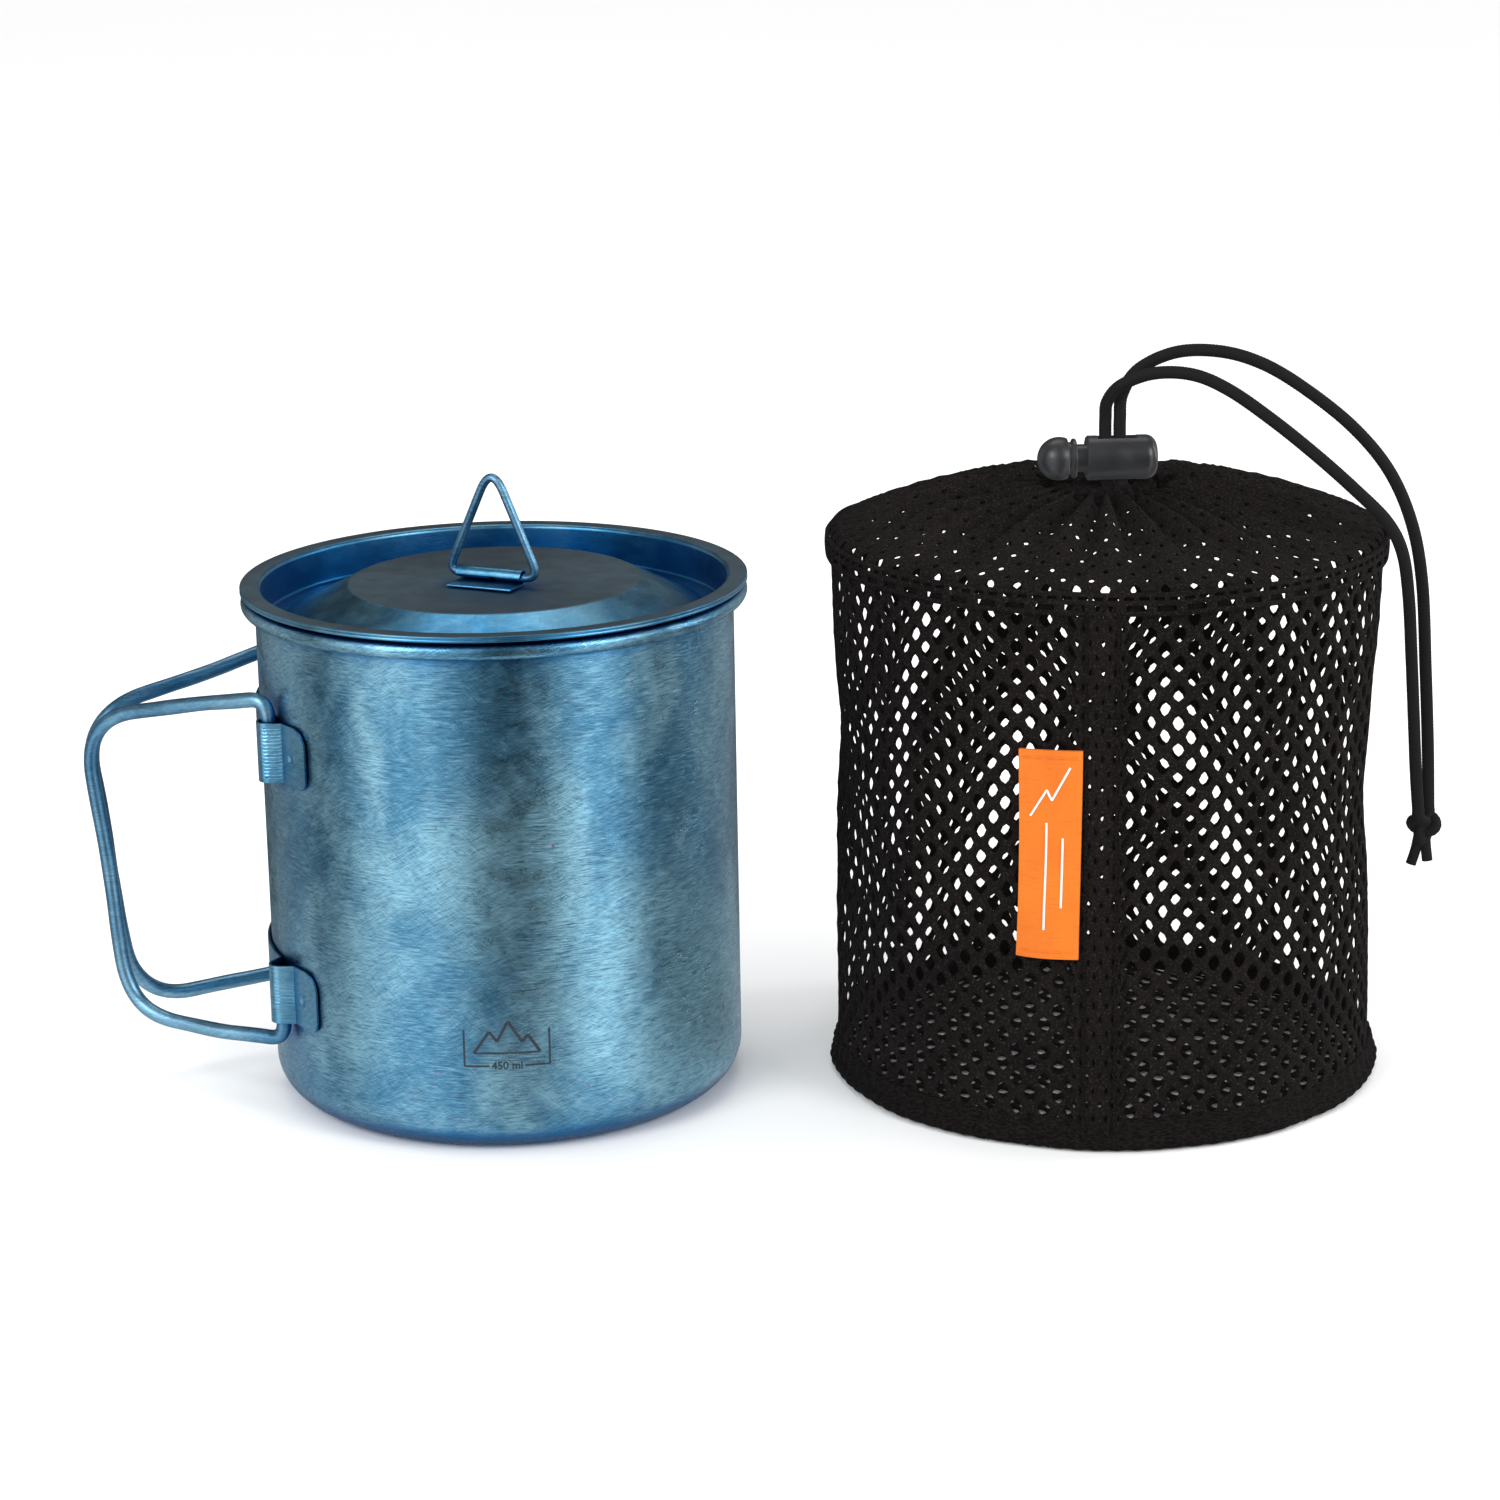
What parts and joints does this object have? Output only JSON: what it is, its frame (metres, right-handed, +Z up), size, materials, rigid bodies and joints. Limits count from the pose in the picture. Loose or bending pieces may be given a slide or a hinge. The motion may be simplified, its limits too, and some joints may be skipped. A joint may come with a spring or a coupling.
{
  "type": "camping pot set",
  "caption": "Blue titanium camping pot with fold-away wire handles, drop-in lid with a folding ring, and a black mesh drawstring stuff sack with a spring cord lock.",
  "frame": {"origin": "centre of the pot's flat base, on the surface that it stands on", "axes": "+X from the handles through the pot towards the stuff sack, +Z up, -Y towards the front"},
  "size_m": [0.2364, 0.0981, 0.1286],
  "materials": {
    "pot_titanium": "heat-blued titanium sheet, fine random brushing, cloudy lighter and darker patches",
    "lid_titanium": "heat-blued titanium sheet, pressed, satin with fine specks",
    "strap_titanium": "heat-blued titanium strip, pressed ribs, spot-weld dimples",
    "wire_titanium": "heat-blued titanium wire, satin with small drawing marks",
    "mesh_fabric": "black polyester net with diamond holes",
    "binding": "black woven binding tape, stitched",
    "label_cloth": "orange woven satin label",
    "cord": "black braided polyester cord",
    "lock_plastic": "satin dark grey moulded plastic",
    "spring_steel": "bright spring steel wire"
  },
  "bodies": {
    "pot": {"pot_shell": "pot_titanium", "upper_handle_strap": "strap_titanium", "lower_handle_strap": "strap_titanium"},
    "front_handle": {"front_handle_loop": "wire_titanium"},
    "back_handle": {"back_handle_loop": "wire_titanium"},
    "lid": {"lid_pan": "lid_titanium", "lid_ear": "strap_titanium"},
    "lid_ring": {"lid_ring": "wire_titanium"},
    "bag": {"bag_wall": "mesh_fabric", "bag_base": "mesh_fabric", "bag_base_seam": "binding", "bag_side_seam": "binding", "bag_hem": "mesh_fabric", "bag_mouth_channel": "binding", "bag_label": "label_cloth", "drawcord_mouth_loop": "cord", "drawcord_left_strand": "cord", "drawcord_right_strand": "cord", "drawcord_knot": "cord"},
    "cord_lock": {"cord_lock_barrel": "lock_plastic", "cord_lock_spring": "spring_steel"},
    "lock_plunger": {"cord_lock_plunger": "lock_plastic"}
  },
  "joints": [
    {"name": "front_handle_fold", "type": "hinge", "parent": "pot", "child": "front_handle", "pos_m": [-0.03836, -0.01921, 0.045], "axis": [0, 0, 1], "range_deg": [0, 145]},
    {"name": "back_handle_fold", "type": "hinge", "parent": "pot", "child": "back_handle", "pos_m": [-0.03836, 0.01921, 0.045], "axis": [0, 0, 1], "range_deg": [-145, 0]},
    {"name": "lid_lift", "type": "slide", "parent": "pot", "child": "lid", "axis": [0, 0, 1], "range_m": [0, 0.06]},
    {"name": "lid_ring_fold", "type": "hinge", "parent": "lid", "child": "lid_ring", "pos_m": [-0.0004, -0.0044, 0.0922], "axis": [0.8941, -0.4478, 0], "range_deg": [-88, 88]},
    {"name": "bag_lift", "type": "slide", "parent": "pot", "child": "bag", "axis": [0, 0, 1], "range_m": [0, 0.12]},
    {"name": "cord_lock_slide", "type": "slide", "parent": "bag", "child": "cord_lock", "axis": [0, 0, 1], "range_m": [0, 0.003]},
    {"name": "plunger_press", "type": "slide", "parent": "cord_lock", "child": "lock_plunger", "axis": [1, 0, 0], "range_m": [0, 0.0015], "stiffness_N_per_m": 800, "springref_m": -0.002, "deforming": ["cord_lock_spring"]}
  ]
}
